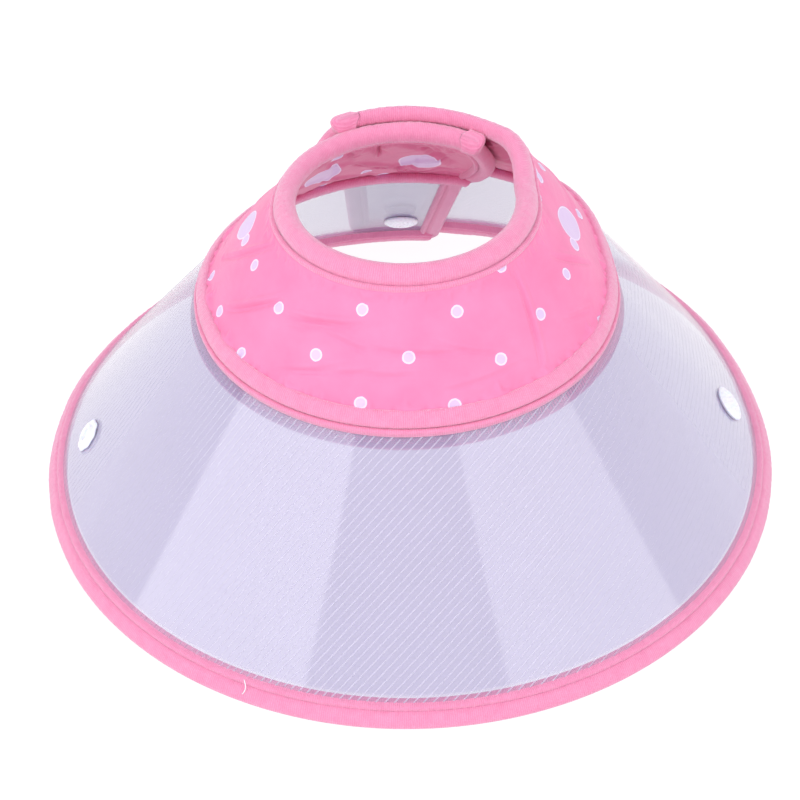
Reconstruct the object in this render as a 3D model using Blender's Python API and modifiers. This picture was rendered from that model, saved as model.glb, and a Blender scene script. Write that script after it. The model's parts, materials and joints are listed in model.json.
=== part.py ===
"""Wrap-around cone collar for a small dog or cat, resting on its rim with its wrap closed.

One flexible plastic sheet is wrapped into a cone. Its ends overlap at the back, where a press snap
near the rim and hook-and-loop strips near the neck hold them. A padded fabric collar covers the neck
third of the sheet, and folded fleece tape binds every edge.

The cone's axis is the Z axis and the floor is Z = 0. Most shapes are given on the unrolled sheet:
slant is the distance from the cone's apex, turn is the angle round the axis in degrees, 0 at the
front (-Y) and positive towards +X, and lift is the distance out from the sheet's middle surface.
The sheet flexes everywhere when it is opened. Here it bends at two hinge lines, so each wrapped
piece is made as a front, an outer wing and an inner wing.
"""

import math

import bmesh
import bpy
from mathutils import Matrix, Vector

# The cone, in metres and degrees
HALF_ANGLE = math.radians(38.87)
RIM_SLANT = 0.2124
NECK_SLANT = 0.0651
SHEET_THICKNESS = 0.0006
GAP = 0.0003
LAYER_GAP = 0.0005

# The wrap
HINGE_TURN = 72.0
HINGE_LIFT = 0.0043
HINGE_GAP = 0.0004
OVERLAP_CENTRE = 180.0
OVERLAP_RISE = (95.0, 132.0)
OVERLAP_LIFT_NECK = 0.0073
OVERLAP_LIFT_RIM = 0.0040
OUTER_END_REACH = (0.0235, 0.0235)
INNER_END_REACH = (0.0135, 0.0290)
TAB_REACH = 0.0080
TAB_SLANTS = (0.0700, 0.1240)

# Fleece tape
TAPE_WIDTH = 0.0083
RIM_ROLL = 0.0017
RIM_LIP = 0.0012
RIM_FACET = 28.0
APEX_HEIGHT = RIM_SLANT * math.cos(HALF_ANGLE) + RIM_ROLL * math.cos(math.radians(RIM_FACET))
END_INSET = RIM_ROLL + 2 * GAP
NECK_ROLL = 0.0035
NECK_LIP = 0.0024
NECK_TAPE_END = 0.0720
HEM_SLANTS = (0.1103, 0.1164, 0.1185)
HEM_LIFTS = (0.0031, 0.0018)
LINING_HEM_SLANTS = (0.1136, 0.1195, 0.1215)
LINING_HEM_LIFTS = (0.0024, 0.0014)

# The padded collar
COLLAR_SLANTS = (0.0723, 0.1100)
LINING_END = 0.1133
COVER_LIFTS = (0.0023, 0.0029)
WADDING_LIFTS = (0.0008, 0.0018)
LINING_LIFTS = (-0.0015, -0.0009)

# Hook-and-loop strips
STRIP_SLANTS = (0.0780, 0.1030)
STRIP_THICKNESS = 0.0007
LOOP_TURNS = (160.0, 205.0)
HOOK_TURNS = (160.0, 196.0)

# Press snaps
SNAP_SLANT = 0.1880
SNAP_LEFT_TURN = -84.5
SNAP_RIGHT_TURN = 90.0
SNAP_BACK_TURN = 181.0
CAP_RADIUS = 0.0071
CAP_THICKNESS = 0.0019
POST_RADIUS = 0.0018
POST_TIP = 0.0004
BORE_RADIUS = 0.0022
SOCKET_RADIUS = 0.0062
STUD_RADIUS = 0.0023
MOUTH_GAP = 0.0004
SOCKET_HEIGHT = 0.0017
STUD_BASE = 0.0009
STUD_HEIGHT = 0.0025

CUTTER_DEPTH = 0.004
TURN_STEP = 6.5
ROUND_STEPS = 16

PINK_TAPE = (0.88, 0.29, 0.50, 1.0)
PINK_COVER = (0.92, 0.31, 0.58, 1.0)
PINK_LINING = (0.60, 0.22, 0.35, 1.0)
WADDING_WHITE = (0.85, 0.85, 0.85, 1.0)
SHEET_LILAC = (0.70, 0.67, 0.83, 0.6)
SNAP_WHITE = (0.88, 0.88, 0.95, 1.0)


def clear_scene():
    for obj in list(bpy.data.objects):
        bpy.data.objects.remove(obj, do_unlink=True)


def new_collection(name):
    collection = bpy.data.collections.new(name)
    bpy.context.scene.collection.children.link(collection)
    return collection


def material(name, colour, roughness):
    made = bpy.data.materials.new(name)
    made.use_nodes = True
    shader = made.node_tree.nodes["Principled BSDF"]
    shader.inputs["Base Color"].default_value = colour
    shader.inputs["Roughness"].default_value = roughness
    shader.inputs["Metallic"].default_value = 0.0
    shader.inputs["Alpha"].default_value = colour[3]
    return made


def on_cone(slant, turn, lift=0.0):
    """The point at this slant, turn and lift."""
    angle = math.radians(turn)
    radius = slant * math.sin(HALF_ANGLE) + lift * math.cos(HALF_ANGLE)
    height = APEX_HEIGHT - slant * math.cos(HALF_ANGLE) + lift * math.sin(HALF_ANGLE)
    return Vector((radius * math.sin(angle), -radius * math.cos(angle), height))


def cone_normal(turn):
    """The sheet's outward normal, which is the same all along a line of constant turn."""
    return on_cone(0.0, turn, 1.0) - on_cone(0.0, turn, 0.0)


def degrees_along(arc, slant):
    """The turn, in degrees, that an arc of this length spans at this slant."""
    return math.degrees(arc / (slant * math.sin(HALF_ANGLE)))


def smooth(value):
    held = min(max(value, 0.0), 1.0)
    return held * held * (3 - 2 * held)


def no_lift(slant, turn):
    return 0.0


def overlap_lift(slant, turn):
    """How far the outer wing stands off the cone, so that it clears the inner wing."""
    along = (slant - NECK_SLANT) / (RIM_SLANT - NECK_SLANT)
    full = OVERLAP_LIFT_NECK + along * (OVERLAP_LIFT_RIM - OVERLAP_LIFT_NECK)
    start, stop = OVERLAP_RISE
    return full * smooth((turn - start) / (stop - start))


def end_reach(slant, reach_rim_neck):
    """How far a sheet end runs past the back line, with the rounded tab at the collar."""
    along = (RIM_SLANT - slant) / (RIM_SLANT - NECK_SLANT)
    rim, neck = reach_rim_neck
    near, far = TAB_SLANTS
    share = (slant - near) / (far - near)
    tab = TAB_REACH * math.sin(math.pi * share) if 0.0 < share < 1.0 else 0.0
    return rim + along * (neck - rim) + tab


def turn_past_back(slant, reach):
    return math.degrees(math.asin(reach / slant)) / math.sin(HALF_ANGLE)


def outer_end(slant):
    return OVERLAP_CENTRE + turn_past_back(slant, end_reach(slant, OUTER_END_REACH))


def inner_end(slant):
    return OVERLAP_CENTRE - 360.0 - turn_past_back(slant, end_reach(slant, INNER_END_REACH))


def hinge_side(side, direction):
    """The edge of a piece at a hinge line, half a gap away from it."""

    def edge(slant):
        return side * HINGE_TURN + direction * degrees_along(HINGE_GAP / 2, slant)

    return edge


# Each wing's name, start and stop turns, and lift
FRONT = ("front", hinge_side(-1, 1), hinge_side(1, -1), no_lift)
OUTER = ("outer_wing", hinge_side(1, 1), outer_end, overlap_lift)
INNER = ("inner_wing", inner_end, hinge_side(-1, -1), no_lift)
WINGS = (FRONT, OUTER, INNER)
ON_OUTER_WING = {
    "hook_strip",
    "snap_right_cap",
    "snap_right_stud",
    "snap_back_outer_cap",
    "snap_back_stud",
}
ON_INNER_WING = {
    "loop_strip",
    "snap_left_cap",
    "snap_left_socket",
    "snap_back_inner_cap",
    "snap_back_socket",
}


def short_of_end(edge, direction):
    """A stop that leaves room for the tape round a sheet end."""

    def stop(slant):
        return edge(slant) + direction * degrees_along(TAPE_WIDTH + LAYER_GAP, slant)

    return stop


def inside_tape(wing):
    """The same wing, stopping where the tape round its free end begins."""
    name, start, stop, lift = wing
    if wing is OUTER:
        stop = short_of_end(outer_end, -1)
    if wing is INNER:
        start = short_of_end(inner_end, 1)
    return name, start, stop, lift


def cap(work, row, is_layer):
    """Closes an end. A thin layer's end can bend a long way, so it is closed in strips across."""
    if not is_layer:
        work.faces.new(row)
        return
    last = len(row) - 1
    for i in range(last // 2):
        work.faces.new((row[i], row[i + 1], row[last - 1 - i], row[last - i]))


def solid_from_rings(name, rings, finish, collection, is_layer=False):
    """A closed solid lofted through rings of points, with both ends capped."""
    mesh = bpy.data.meshes.new(name)
    work = bmesh.new()
    rows = [[work.verts.new(point) for point in ring] for ring in rings]
    for row, following in zip(rows, rows[1:]):
        for i in range(len(row)):
            j = (i + 1) % len(row)
            work.faces.new((row[i], row[j], following[j], following[i]))
    cap(work, list(reversed(rows[0])), is_layer)
    cap(work, rows[-1], is_layer)
    if work.calc_volume(signed=True) < 0.0:
        bmesh.ops.reverse_faces(work, faces=work.faces)
    work.to_mesh(mesh)
    work.free()
    mesh.shade_smooth()
    mesh.set_sharp_from_angle(angle=math.radians(40))
    mesh.materials.append(finish)
    made = bpy.data.objects.new(name, mesh)
    collection.objects.link(made)
    return made


def wrapped(name, outline, start, stop, lift, finish, collection, is_layer=False):
    """A cross-section of (slant, lift) points carried round the cone from start to stop."""
    spans = [stop(slant) - start(slant) for slant, _ in outline]
    steps = max(2, math.ceil(max(spans) / TURN_STEP))
    rings = []
    for step in range(steps + 1):
        ring = []
        for slant, height in outline:
            turn = start(slant) + (stop(slant) - start(slant)) * step / steps
            ring.append(on_cone(slant, turn, height + lift(slant, turn)))
        rings.append(ring)
    return solid_from_rings(name, rings, finish, collection, is_layer)


def along_end(name, outline, edge, direction, slants, lift, finish, collection):
    """A cross-section of (distance in from the sheet end, lift) points carried along that end."""
    rings = []
    for slant in slants:
        ring = []
        for inward, height in outline:
            turn = edge(slant) + direction * degrees_along(inward, slant)
            ring.append(on_cone(slant, turn, height + lift(slant, turn)))
        rings.append(ring)
    return solid_from_rings(name, rings, finish, collection)


def even_steps(first, last, count):
    return [first + (last - first) * i / (count - 1) for i in range(count)]


def end_rows():
    """The slants at which every layer that meets a sheet end has its points."""
    collar = even_steps(*COLLAR_SLANTS, 5)
    lip_of_rim = RIM_SLANT + RIM_ROLL - TAPE_WIDTH
    return collar + [LINING_END] + even_steps(LINING_HEM_SLANTS[-1], lip_of_rim - GAP, 6)


def slab(slants, lifts):
    """The outline of a flat layer: along its top, then back along its underside."""
    low, high = lifts
    return [(slant, high) for slant in slants] + [(slant, low) for slant in reversed(slants)]


def folded_tape(centre, roll, lip_end, lip, nose_angles):
    """The outline of tape folded over the sheet's edge, the fold at centre and its lips at lip_end."""
    side = math.copysign(1.0, centre - lip_end)
    slot = SHEET_THICKNESS / 2 + GAP
    slot_end = centre - side * GAP
    nose = []
    for angle in nose_angles:
        lean = math.radians(angle)
        nose.append((centre + side * roll * math.cos(lean), roll * math.sin(lean)))
    slot_side = [(lip_end, -slot), (slot_end, -slot), (slot_end, slot), (lip_end, slot)]
    return slot_side + [(lip_end, lip)] + nose + [(lip_end, -lip)]


def rim_outline():
    """The rim's tape, with a flat facet along the floor, facing straight down."""
    down = -math.degrees(HALF_ANGLE)
    nose_angles = (90, 58, 24, down + RIM_FACET, down - RIM_FACET, -90)
    return folded_tape(RIM_SLANT, RIM_ROLL, RIM_SLANT + RIM_ROLL - TAPE_WIDTH, RIM_LIP, nose_angles)


def neck_outline():
    """The neck's tape, a fat soft roll."""
    nose_angles = (125, 90, 54, 18, -18, -54, -90, -125)
    return folded_tape(NECK_SLANT, NECK_ROLL, NECK_TAPE_END, NECK_LIP, nose_angles)


def hem_outline(slants, lifts, side):
    """A stitched-down tape lying on one side of the sheet, thicker in its roll than in its lip."""
    near, stitched, far = slants
    roll, lip = lifts
    base = SHEET_THICKNESS / 2 + LAYER_GAP
    middle = (near + stitched) / 2
    top = [(near, roll * 0.7), (middle, roll), (stitched, lip), (far, lip * 0.8)]
    return [(slant, side * height) for slant, height in [(near, base)] + top + [(far, base)]]


def make_sheets(collection):
    """The clear ribbed sheet, one solid for each wing."""
    finish = material("clear_sheet", SHEET_LILAC, 0.18)
    half = SHEET_THICKNESS / 2
    ends = [NECK_SLANT + 3 * GAP, RIM_SLANT - 2 * GAP]
    made = {}
    for wing in WINGS:
        name, start, stop, lift = wing
        rows = ends if wing is FRONT else ends[:1] + end_rows() + ends[1:]
        if wing is OUTER:
            stop = shifted(outer_end, -END_INSET)
        if wing is INNER:
            start = shifted(inner_end, END_INSET)
        outline = slab(rows, (-half, half))
        made[name] = wrapped(f"sheet_{name}", outline, start, stop, lift, finish, collection, True)
    return made


def shifted(edge, arc):
    """An edge moved round the cone by an arc length."""

    def moved(slant):
        return edge(slant) + degrees_along(arc, slant)

    return moved


def make_edge_tapes(collection):
    """The fleece tape folded over the rim and over the neck edge."""
    finish = material("fleece_tape", PINK_TAPE, 0.95)
    for name, start, stop, lift in WINGS:
        wrapped(f"rim_binding_{name}", rim_outline(), start, stop, lift, finish, collection)
        wrapped(f"neck_binding_{name}", neck_outline(), start, stop, lift, finish, collection)


def make_end_tapes(collection):
    """The fleece tape folded over the sheet's two free ends, between the rim and the neck."""
    finish = material("fleece_end_tape", PINK_TAPE, 0.95)
    outline = folded_tape(RIM_ROLL, RIM_ROLL, TAPE_WIDTH, RIM_LIP, (90, 50, 15, -15, -50, -90))
    ends = (
        ("end_binding_outer_wing", outer_end, -1, overlap_lift),
        ("end_binding_inner_wing", inner_end, 1, no_lift),
    )
    for name, edge, direction, lift in ends:
        along_end(name, outline, edge, direction, end_rows(), lift, finish, collection)


def make_collar(collection):
    """The padded collar's layers, and the tapes that hem its cover and its lining."""
    cover = material("dotted_cover", PINK_COVER, 0.6)
    lining = material("dotted_lining", PINK_LINING, 0.7)
    wadding = material("wadding", WADDING_WHITE, 1.0)
    hem = material("hem_tape", PINK_TAPE, 0.95)
    for wing in WINGS:
        wing_name, start, stop, lift = inside_tape(wing)
        rows = even_steps(*COLLAR_SLANTS, 2 if wing is FRONT else 5)
        layers = (
            ("collar_cover", slab(rows, COVER_LIFTS), cover, True),
            ("collar_wadding", slab(rows, WADDING_LIFTS), wadding, True),
            ("collar_lining", slab(rows + [LINING_END], LINING_LIFTS), lining, True),
            ("cover_hem_binding", hem_outline(HEM_SLANTS, HEM_LIFTS, 1), hem, False),
            ("lining_hem_binding", hem_outline(LINING_HEM_SLANTS, LINING_HEM_LIFTS, -1), hem, False),
        )
        for name, outline, finish, is_layer in layers:
            wrapped(f"{name}_{wing_name}", outline, start, stop, lift, finish, collection, is_layer)


def constant(value):
    def edge(slant):
        return value

    return edge


def make_strips(collection):
    """The loop strip on the inner wing's cover and the hook strip on the outer wing's lining."""
    finish = material("hook_and_loop", PINK_TAPE, 0.9)
    rows = even_steps(*STRIP_SLANTS, 2)
    loop_base = COVER_LIFTS[1] + GAP
    loop = slab(rows, (loop_base, loop_base + STRIP_THICKNESS))
    loop_start, loop_stop = [constant(turn - 360.0) for turn in LOOP_TURNS]
    wrapped("loop_strip", loop, loop_start, loop_stop, no_lift, finish, collection)
    hook_top = LINING_LIFTS[0] - GAP
    hook = slab(rows, (hook_top - STRIP_THICKNESS, hook_top))
    hook_start, hook_stop = [constant(turn) for turn in HOOK_TURNS]
    wrapped("hook_strip", hook, hook_start, hook_stop, overlap_lift, finish, collection)


def turned(name, profile, finish, collection):
    """A closed shape turned about the local Z axis from a profile of (radius, height) points.
    A profile that starts and ends off the axis is closed into a ring."""
    mesh = bpy.data.meshes.new(name)
    points = [(radius, 0.0, height) for radius, height in profile]
    edges = [(i, i + 1) for i in range(len(points) - 1)]
    if profile[0][0] > 0.0:
        edges.append((len(points) - 1, 0))
    mesh.from_pydata(points, edges, [])
    mesh.materials.append(finish)
    made = bpy.data.objects.new(name, mesh)
    collection.objects.link(made)
    screw = made.modifiers.new("Turn", "SCREW")
    screw.axis = "Z"
    screw.angle = math.tau
    screw.steps = ROUND_STEPS
    screw.render_steps = ROUND_STEPS
    screw.use_merge_vertices = True
    screw.merge_threshold = 0.00001
    return made


def cap_profile(post_length):
    """A domed cap whose post points down from its flat underside at height 0."""
    return (
        (0.0, CAP_THICKNESS),
        (CAP_RADIUS * 0.55, CAP_THICKNESS * 0.93),
        (CAP_RADIUS * 0.9, CAP_THICKNESS * 0.62),
        (CAP_RADIUS, CAP_THICKNESS * 0.25),
        (CAP_RADIUS * 0.96, 0.0),
        (POST_RADIUS, 0.0),
        (POST_RADIUS, -post_length),
        (0.0, -post_length),
    )


def socket_profile():
    """A ring with a wide mouth for the stud and a narrow bore for the cap's post."""
    mouth = STUD_RADIUS + MOUTH_GAP
    return (
        (mouth, SOCKET_HEIGHT),
        (SOCKET_RADIUS * 0.78, SOCKET_HEIGHT),
        (SOCKET_RADIUS, SOCKET_HEIGHT * 0.35),
        (SOCKET_RADIUS, 0.0),
        (BORE_RADIUS, 0.0),
        (BORE_RADIUS, SOCKET_HEIGHT * 0.3),
        (mouth, SOCKET_HEIGHT * 0.3),
    )


def stud_profile():
    """A flat base with a round stud on it, and a blind bore below for the cap's post."""
    return (
        (0.0, STUD_HEIGHT),
        (STUD_RADIUS * 0.8, STUD_HEIGHT),
        (STUD_RADIUS, STUD_HEIGHT * 0.8),
        (STUD_RADIUS * 0.9, STUD_BASE),
        (SOCKET_RADIUS, STUD_BASE),
        (SOCKET_RADIUS, 0.0),
        (BORE_RADIUS, 0.0),
        (BORE_RADIUS, STUD_BASE * 0.7),
        (0.0, STUD_BASE * 0.7),
    )


def stand_on_sheet(obj, turn, lift, facing):
    """Puts a turned piece on the sheet, its local Z pointing out of the cone or into it."""
    normal = cone_normal(turn) * facing
    obj.rotation_mode = "QUATERNION"
    obj.rotation_quaternion = normal.to_track_quat("Z", "Y")
    obj.location = on_cone(SNAP_SLANT, turn, lift)


def make_snaps(collection):
    """Three press snaps near the rim: half of one on each side, and the one that closes the wrap."""
    finish = material("snap_plastic", SNAP_WHITE, 0.3)
    seat = SHEET_THICKNESS / 2 + GAP
    post = 2 * seat + POST_TIP
    back_lift = overlap_lift(SNAP_SLANT, SNAP_BACK_TURN)
    layout = (
        ("snap_left_cap", cap_profile(post), SNAP_LEFT_TURN, -seat, -1),
        ("snap_left_socket", socket_profile(), SNAP_LEFT_TURN, seat, 1),
        ("snap_right_cap", cap_profile(post), SNAP_RIGHT_TURN, seat, 1),
        ("snap_right_stud", stud_profile(), SNAP_RIGHT_TURN, -seat, -1),
        ("snap_back_inner_cap", cap_profile(post), SNAP_BACK_TURN, -seat, -1),
        ("snap_back_socket", socket_profile(), SNAP_BACK_TURN, seat, 1),
        ("snap_back_outer_cap", cap_profile(post), SNAP_BACK_TURN, back_lift + seat, 1),
        ("snap_back_stud", stud_profile(), SNAP_BACK_TURN, back_lift - seat, -1),
    )
    for name, profile, turn, lift, facing in layout:
        stand_on_sheet(turned(name, profile, finish, collection), turn, lift, facing)


def pierce(sheet, turn, cutters):
    """Cuts the hole that a snap's post goes through."""
    mesh = bpy.data.meshes.new("post_hole")
    work = bmesh.new()
    size = {"radius1": BORE_RADIUS, "radius2": BORE_RADIUS, "depth": CUTTER_DEPTH}
    bmesh.ops.create_cone(work, cap_ends=True, segments=ROUND_STEPS, **size)
    work.to_mesh(mesh)
    work.free()
    cutter = bpy.data.objects.new("post_hole", mesh)
    cutters.objects.link(cutter)
    cutter.hide_render = True
    cutter.display_type = "WIRE"
    lift = overlap_lift(SNAP_SLANT, turn) if sheet.name.endswith(OUTER[0]) else 0.0
    stand_on_sheet(cutter, turn, lift, 1)
    cut = sheet.modifiers.new("Post hole", "BOOLEAN")
    cut.operation = "DIFFERENCE"
    cut.solver = "EXACT"
    cut.object = cutter


def hinge_empty(name, side, collection):
    """An empty on a hinge line, its local Z pointing down the slope of the cone."""
    empty = bpy.data.objects.new(name, None)
    empty.empty_display_size = 0.02
    collection.objects.link(empty)
    top = on_cone(NECK_SLANT, side * HINGE_TURN, HINGE_LIFT)
    bottom = on_cone(RIM_SLANT, side * HINGE_TURN, HINGE_LIFT)
    turned_down = (bottom - top).to_track_quat("Z", "Y")
    empty.matrix_world = Matrix.LocRotScale(top, turned_down, None)
    return empty


def hang_on_hinges(collection):
    """Parents each wing's pieces to the empty on its hinge line, leaving them where they are."""
    outer_hinge = hinge_empty("outer_wing_hinge", 1, collection)
    inner_hinge = hinge_empty("inner_wing_hinge", -1, collection)
    bpy.context.view_layer.update()
    for obj in collection.objects:
        if obj.name.endswith(OUTER[0]) or obj.name in ON_OUTER_WING:
            hinge = outer_hinge
        elif obj.name.endswith(INNER[0]) or obj.name in ON_INNER_WING:
            hinge = inner_hinge
        else:
            continue
        world = obj.matrix_world.copy()
        obj.parent = hinge
        obj.matrix_parent_inverse = hinge.matrix_world.inverted()
        obj.matrix_world = world


def main():
    clear_scene()
    collection = new_collection("cone_collar")
    cutters = new_collection("cutters")
    sheets = make_sheets(collection)
    pierce(sheets["outer_wing"], SNAP_RIGHT_TURN, cutters)
    pierce(sheets["outer_wing"], SNAP_BACK_TURN, cutters)
    pierce(sheets["inner_wing"], SNAP_LEFT_TURN, cutters)
    pierce(sheets["inner_wing"], SNAP_BACK_TURN, cutters)
    make_edge_tapes(collection)
    make_end_tapes(collection)
    make_collar(collection)
    make_strips(collection)
    make_snaps(collection)
    hang_on_hinges(collection)


main()
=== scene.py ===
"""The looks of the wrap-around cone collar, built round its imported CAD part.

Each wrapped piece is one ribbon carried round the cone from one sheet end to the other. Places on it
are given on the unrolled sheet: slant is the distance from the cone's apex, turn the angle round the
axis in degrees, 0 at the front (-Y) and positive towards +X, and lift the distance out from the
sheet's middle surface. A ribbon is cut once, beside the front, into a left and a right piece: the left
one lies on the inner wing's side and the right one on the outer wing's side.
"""

import json
import math

import bpy
import numpy as np
from mathutils import Matrix, Vector


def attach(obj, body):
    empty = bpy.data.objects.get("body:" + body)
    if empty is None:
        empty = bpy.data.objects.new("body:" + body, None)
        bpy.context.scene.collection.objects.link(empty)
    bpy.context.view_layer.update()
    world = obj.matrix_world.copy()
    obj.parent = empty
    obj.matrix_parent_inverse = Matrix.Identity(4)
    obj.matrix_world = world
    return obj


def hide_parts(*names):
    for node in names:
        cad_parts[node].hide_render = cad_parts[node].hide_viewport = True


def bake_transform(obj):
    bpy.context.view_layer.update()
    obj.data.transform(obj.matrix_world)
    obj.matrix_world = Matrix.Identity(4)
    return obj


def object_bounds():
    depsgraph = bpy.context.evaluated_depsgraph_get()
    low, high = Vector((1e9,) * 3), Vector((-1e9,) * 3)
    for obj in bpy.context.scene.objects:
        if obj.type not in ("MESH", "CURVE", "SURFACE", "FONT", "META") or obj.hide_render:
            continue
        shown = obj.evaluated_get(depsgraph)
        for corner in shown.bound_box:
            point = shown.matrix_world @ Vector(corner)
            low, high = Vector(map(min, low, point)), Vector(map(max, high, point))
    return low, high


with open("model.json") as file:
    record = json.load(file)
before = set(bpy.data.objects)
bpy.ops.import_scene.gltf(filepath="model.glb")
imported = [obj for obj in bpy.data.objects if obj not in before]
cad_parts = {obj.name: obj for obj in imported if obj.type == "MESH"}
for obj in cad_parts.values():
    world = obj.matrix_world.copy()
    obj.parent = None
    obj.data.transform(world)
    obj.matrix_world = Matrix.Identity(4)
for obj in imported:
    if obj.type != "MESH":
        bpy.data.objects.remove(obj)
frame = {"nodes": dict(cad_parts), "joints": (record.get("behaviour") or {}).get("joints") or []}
CAD_LOW, CAD_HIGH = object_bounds()

# --- The cone, measured on the frame ---------------------------------------------------------------

JOINTS = {joint["name"]: joint for joint in frame["joints"]}
DOWN_SLOPE = Vector(JOINTS["outer_wrap_open"]["axis"]).normalized()
HALF_ANGLE = math.acos(-DOWN_SLOPE.z)
SIN, COS = math.sin(HALF_ANGLE), math.cos(HALF_ANGLE)
HINGE_TURN = math.degrees(math.atan2(DOWN_SLOPE.x, -DOWN_SLOPE.y))
SIDES = {"right": ("outer_wing", "outer_wrap_open"), "left": ("inner_wing", "inner_wrap_open")}


def corners_of(node):
    return np.array([vertex.co for vertex in frame["nodes"][node].data.vertices])


def measure_sheet():
    """(apex height, the sheet's upper slant, its lower slant), from the front sheet's corners."""
    corners = corners_of("sheet_front")
    radius = np.hypot(corners[:, 0], corners[:, 1])
    off = radius * COS + corners[:, 2] * SIN
    apex = (off.min() + off.max()) / 2 / SIN
    along = radius * SIN + (apex - corners[:, 2]) * COS
    return apex, along.min(), along.max()


APEX_HEIGHT, SHEET_TOP, SHEET_FOOT = measure_sheet()
SHEET_HALF = 0.0003


def cone_places(points):
    """The slants, turns and lifts off the cone of these points."""
    radius = np.hypot(points[:, 0], points[:, 1])
    slants = radius * SIN + (APEX_HEIGHT - points[:, 2]) * COS
    lifts = radius * COS + (points[:, 2] - APEX_HEIGHT) * SIN
    return slants, np.degrees(np.arctan2(points[:, 0], -points[:, 1])), lifts


# The wrap, as the CAD part has it: the neck's and the rim's edges, just past the sheet's own
NECK_SLANT = SHEET_TOP - 0.0009
RIM_SLANT = SHEET_FOOT + 0.0006
OVERLAP_RISE = (95.0, 132.0)
OVERLAP_LIFT_NECK = 0.0073
OVERLAP_LIFT_RIM = 0.0040
OUTER_END_REACH = (0.0235, 0.0235)
INNER_END_REACH = (0.0135, 0.0290)
TAB_REACH = 0.0080
TAB_SLANTS = (0.0700, 0.1240)

# Where each ribbon is cut, and the waves of the flexible sheet
SPLIT_TURN = 42.0
WAVE_HEIGHT = 0.00022

# --- Tapes: the width of the roll and of the whole tape, and the heights of roll, groove and ridge ---

RIM_TAPE = {"roll": 0.0019, "roll_width": 0.0060, "groove": 0.0008, "ridge": 0.0010, "width": 0.0088}
END_TAPE = {"roll": 0.0019, "roll_width": 0.0060, "groove": 0.0008, "ridge": 0.0010, "width": 0.0086}
NECK_TAPE = {"roll": 0.0035, "roll_width": 0.0074, "groove": 0.0016, "ridge": 0.0015, "width": 0.0105}
RIM_INSIDE_SPREAD = 0.0014
NECK_CORNER = 0.0032
RIM_CORNER = 0.0070
NECK_NOSE = NECK_SLANT - NECK_TAPE["roll"]
RIM_NOSE = RIM_SLANT + 0.0017
COVER_HEM = {"slants": (0.1094, 0.1154, 0.1183), "roll": 0.0031, "groove": 0.0009, "ridge": 0.0014}
LINING_HEM = {"slants": (0.1133, 0.1194, 0.1224), "roll": 0.0026, "groove": 0.0009, "ridge": 0.0010}
KNIT_PITCH = 0.00070
STITCH_PITCH = 0.0029
STITCH_LENGTH = 0.0023
STITCH_ARCH = 0.00028
STITCH_SINK = 0.00032
STITCH_MARGIN = 0.009
THREAD_RADIUS = 0.00019
LOOSE_THREAD_RADIUS = 0.00017
RING_INSET = 0.0030

# The padded collar
CUSHION_SLANTS = (0.0698, 0.1124)
COVER_LIFT = 0.0017
COVER_DOME = 0.0013
LINING_SLANTS = (0.0698, 0.1150)
LINING_LIFT = 0.0010
LINING_DOME = 0.0005

# The hook strip's seat under the puffed lining, and its face
HOOK_LIFTS = (-0.0018, -0.0025)

# Fine lines moulded on the sheet: direction on the unrolled sheet, spacing, half width and height
LINE_ANGLE = math.radians(46.0)
LINE_PITCH = 0.0023
LINE_HALF_WIDTH = 0.00027
LINE_HEIGHT = 0.00022
LINE_SLANTS = (0.1168, 0.2075)
LINE_STEP = 0.0032

# The printed dots: a staggered lattice on the unrolled sheet
DOT_PITCH = (0.0304, 0.0303)
DOT_TOP = (0.0013, -0.0619)
DOT_LEAN = math.radians(-2.2)
DOT_RADIUS = 0.00215
LATTICE_START = 64.5  # whole steps that keep the count positive, and the half step to a dot's middle
# In dot radii: where a dot's tint and its outline end, and what a place bare of dots adds
DOT_MIDDLE = 0.74
OUTLINE_REACH = 1.12
FAR_OUT = 9.0
YARN_PITCH = 0.00034
THREAD_TWIST = 0.0005

# Where the sheet's haze and its moulded lines fade: spans of slant, and of distance from the middle line
HEM_HAZE = (0.1190, 0.1222)
RIM_HAZE = (0.2025, 0.2040)
LINE_FADE = (0.045, 0.095)

# Colours, linear
PINK_TAPE = (0.93, 0.37, 0.57, 1.0)
PINK_TAPE_DEEP = (0.80, 0.20, 0.38, 1.0)
PINK_COVER = (0.94, 0.28, 0.50, 1.0)
PINK_COVER_DEEP = (0.84, 0.20, 0.40, 1.0)
# The lining is the cover's own cloth: its two colours are darkened as painted shade, for the shade inside the
# collar
LINING_PINK_IN_SHADE = (0.78, 0.21, 0.38, 1.0)
LINING_PINK_DEEP_IN_SHADE = (0.66, 0.15, 0.30, 1.0)
DOT_COLOUR = (0.72, 0.54, 0.80, 1.0)
DOT_EDGE = (0.86, 0.70, 0.90, 1.0)
DOT_OUTLINE = (0.58, 0.26, 0.50, 1.0)
SHEET_COLOUR = (0.45, 0.41, 0.62, 1.0)
# The moulded lines are the sheet's own plastic: their paler colour is a painted highlight, for the light
# their flanks catch
LINE_HIGHLIGHT_COLOUR = (0.74, 0.69, 0.88, 1.0)
SNAP_COLOUR = (0.88, 0.88, 0.99, 1.0)
THREAD_PINK = (0.85, 0.24, 0.45, 1.0)
THREAD_WHITE = (0.95, 0.93, 0.97, 1.0)
FLOOR_DARK = (0.19, 0.19, 0.195, 1.0)
FLOOR_PALE = (0.22, 0.22, 0.225, 1.0)


# --- Shape functions --------------------------------------------------------------------------------


def smooth(value):
    held = np.clip(value, 0.0, 1.0)
    return held * held * (3 - 2 * held)


def degrees_along(arc, slant):
    """The turn that an arc of this length spans at this slant."""
    return np.degrees(arc / (slant * SIN))


def arc_along(turn, slant):
    """The length of the arc from the front to this turn at this slant."""
    return np.radians(turn) * SIN * slant


def overlap_lift(slant, turn):
    """How far the outer wing stands off the cone."""
    along = (slant - NECK_SLANT) / (RIM_SLANT - NECK_SLANT)
    full = OVERLAP_LIFT_NECK + along * (OVERLAP_LIFT_RIM - OVERLAP_LIFT_NECK)
    start, stop = OVERLAP_RISE
    return full * smooth((turn - start) / (stop - start))


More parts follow.
